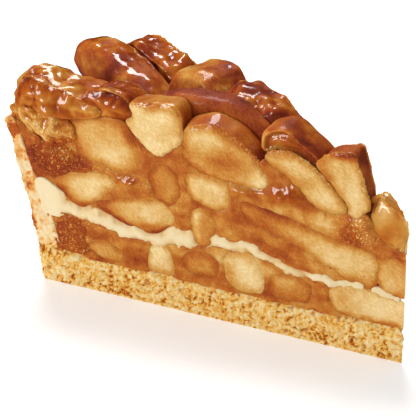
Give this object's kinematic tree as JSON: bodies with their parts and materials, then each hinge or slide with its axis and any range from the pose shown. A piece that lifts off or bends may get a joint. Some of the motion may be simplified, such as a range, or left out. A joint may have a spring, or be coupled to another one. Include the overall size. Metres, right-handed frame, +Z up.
{
  "type": "apple tart slice",
  "caption": "Cut slice of deep apple tart on a crumb base, with a custard cream layer and glazed apple chunks on top.",
  "frame": {"origin": "middle of the slice's footprint, on the surface it stands on", "axes": "+X from the baked rim to the tip of the slice, +Y towards the far cut, +Z up"},
  "size_m": [0.122, 0.0536, 0.0628],
  "materials": {
    "crust": "baked crumb, dry, pitted and grainy",
    "sauce": "set apple sauce, moist and half clear",
    "cream": "set custard cream, smooth and soft",
    "apple_flesh": "cooked apple, moist and fine grained",
    "apple_caramel": "browned apple under a thick clear glaze"
  },
  "bodies": {
    "root": {"crust": "crust", "lower_filling": "sauce", "cream_layer": "cream", "upper_filling": "sauce", "apple_top_near_1": "apple_caramel", "apple_top_near_2": "apple_caramel", "apple_top_near_3": "apple_caramel", "apple_top_near_4": "apple_caramel", "apple_top_near_5": "apple_caramel", "apple_top_near_6": "apple_caramel", "apple_top_near_7": "apple_caramel", "apple_top_near_8": "apple_caramel", "apple_top_near_9": "apple_caramel", "apple_top_back_1": "apple_caramel", "apple_top_back_2": "apple_caramel", "apple_top_back_3": "apple_caramel", "apple_top_back_4": "apple_caramel", "apple_top_back_5": "apple_caramel", "apple_top_back_6": "apple_caramel", "apple_top_back_7": "apple_caramel", "apple_high_near_1": "apple_flesh", "apple_high_near_2": "apple_flesh", "apple_high_near_3": "apple_flesh", "apple_high_near_4": "apple_flesh", "apple_high_near_5": "apple_flesh", "apple_high_near_6": "apple_flesh", "apple_high_near_7": "apple_flesh", "apple_high_near_8": "apple_flesh", "apple_high_near_9": "apple_flesh", "apple_high_far_1": "apple_flesh", "apple_high_far_2": "apple_flesh", "apple_high_far_3": "apple_flesh", "apple_high_far_4": "apple_flesh", "apple_high_far_5": "apple_flesh", "apple_high_far_6": "apple_flesh", "apple_high_far_7": "apple_flesh", "apple_low_near_1": "apple_flesh", "apple_low_near_2": "apple_flesh", "apple_low_near_3": "apple_flesh", "apple_low_near_4": "apple_flesh", "apple_low_near_5": "apple_flesh", "apple_low_near_6": "apple_flesh", "apple_low_near_7": "apple_flesh", "apple_low_far_1": "apple_flesh", "apple_low_far_2": "apple_flesh", "apple_low_far_3": "apple_flesh", "apple_low_far_4": "apple_flesh"}
  },
  "joints": []
}
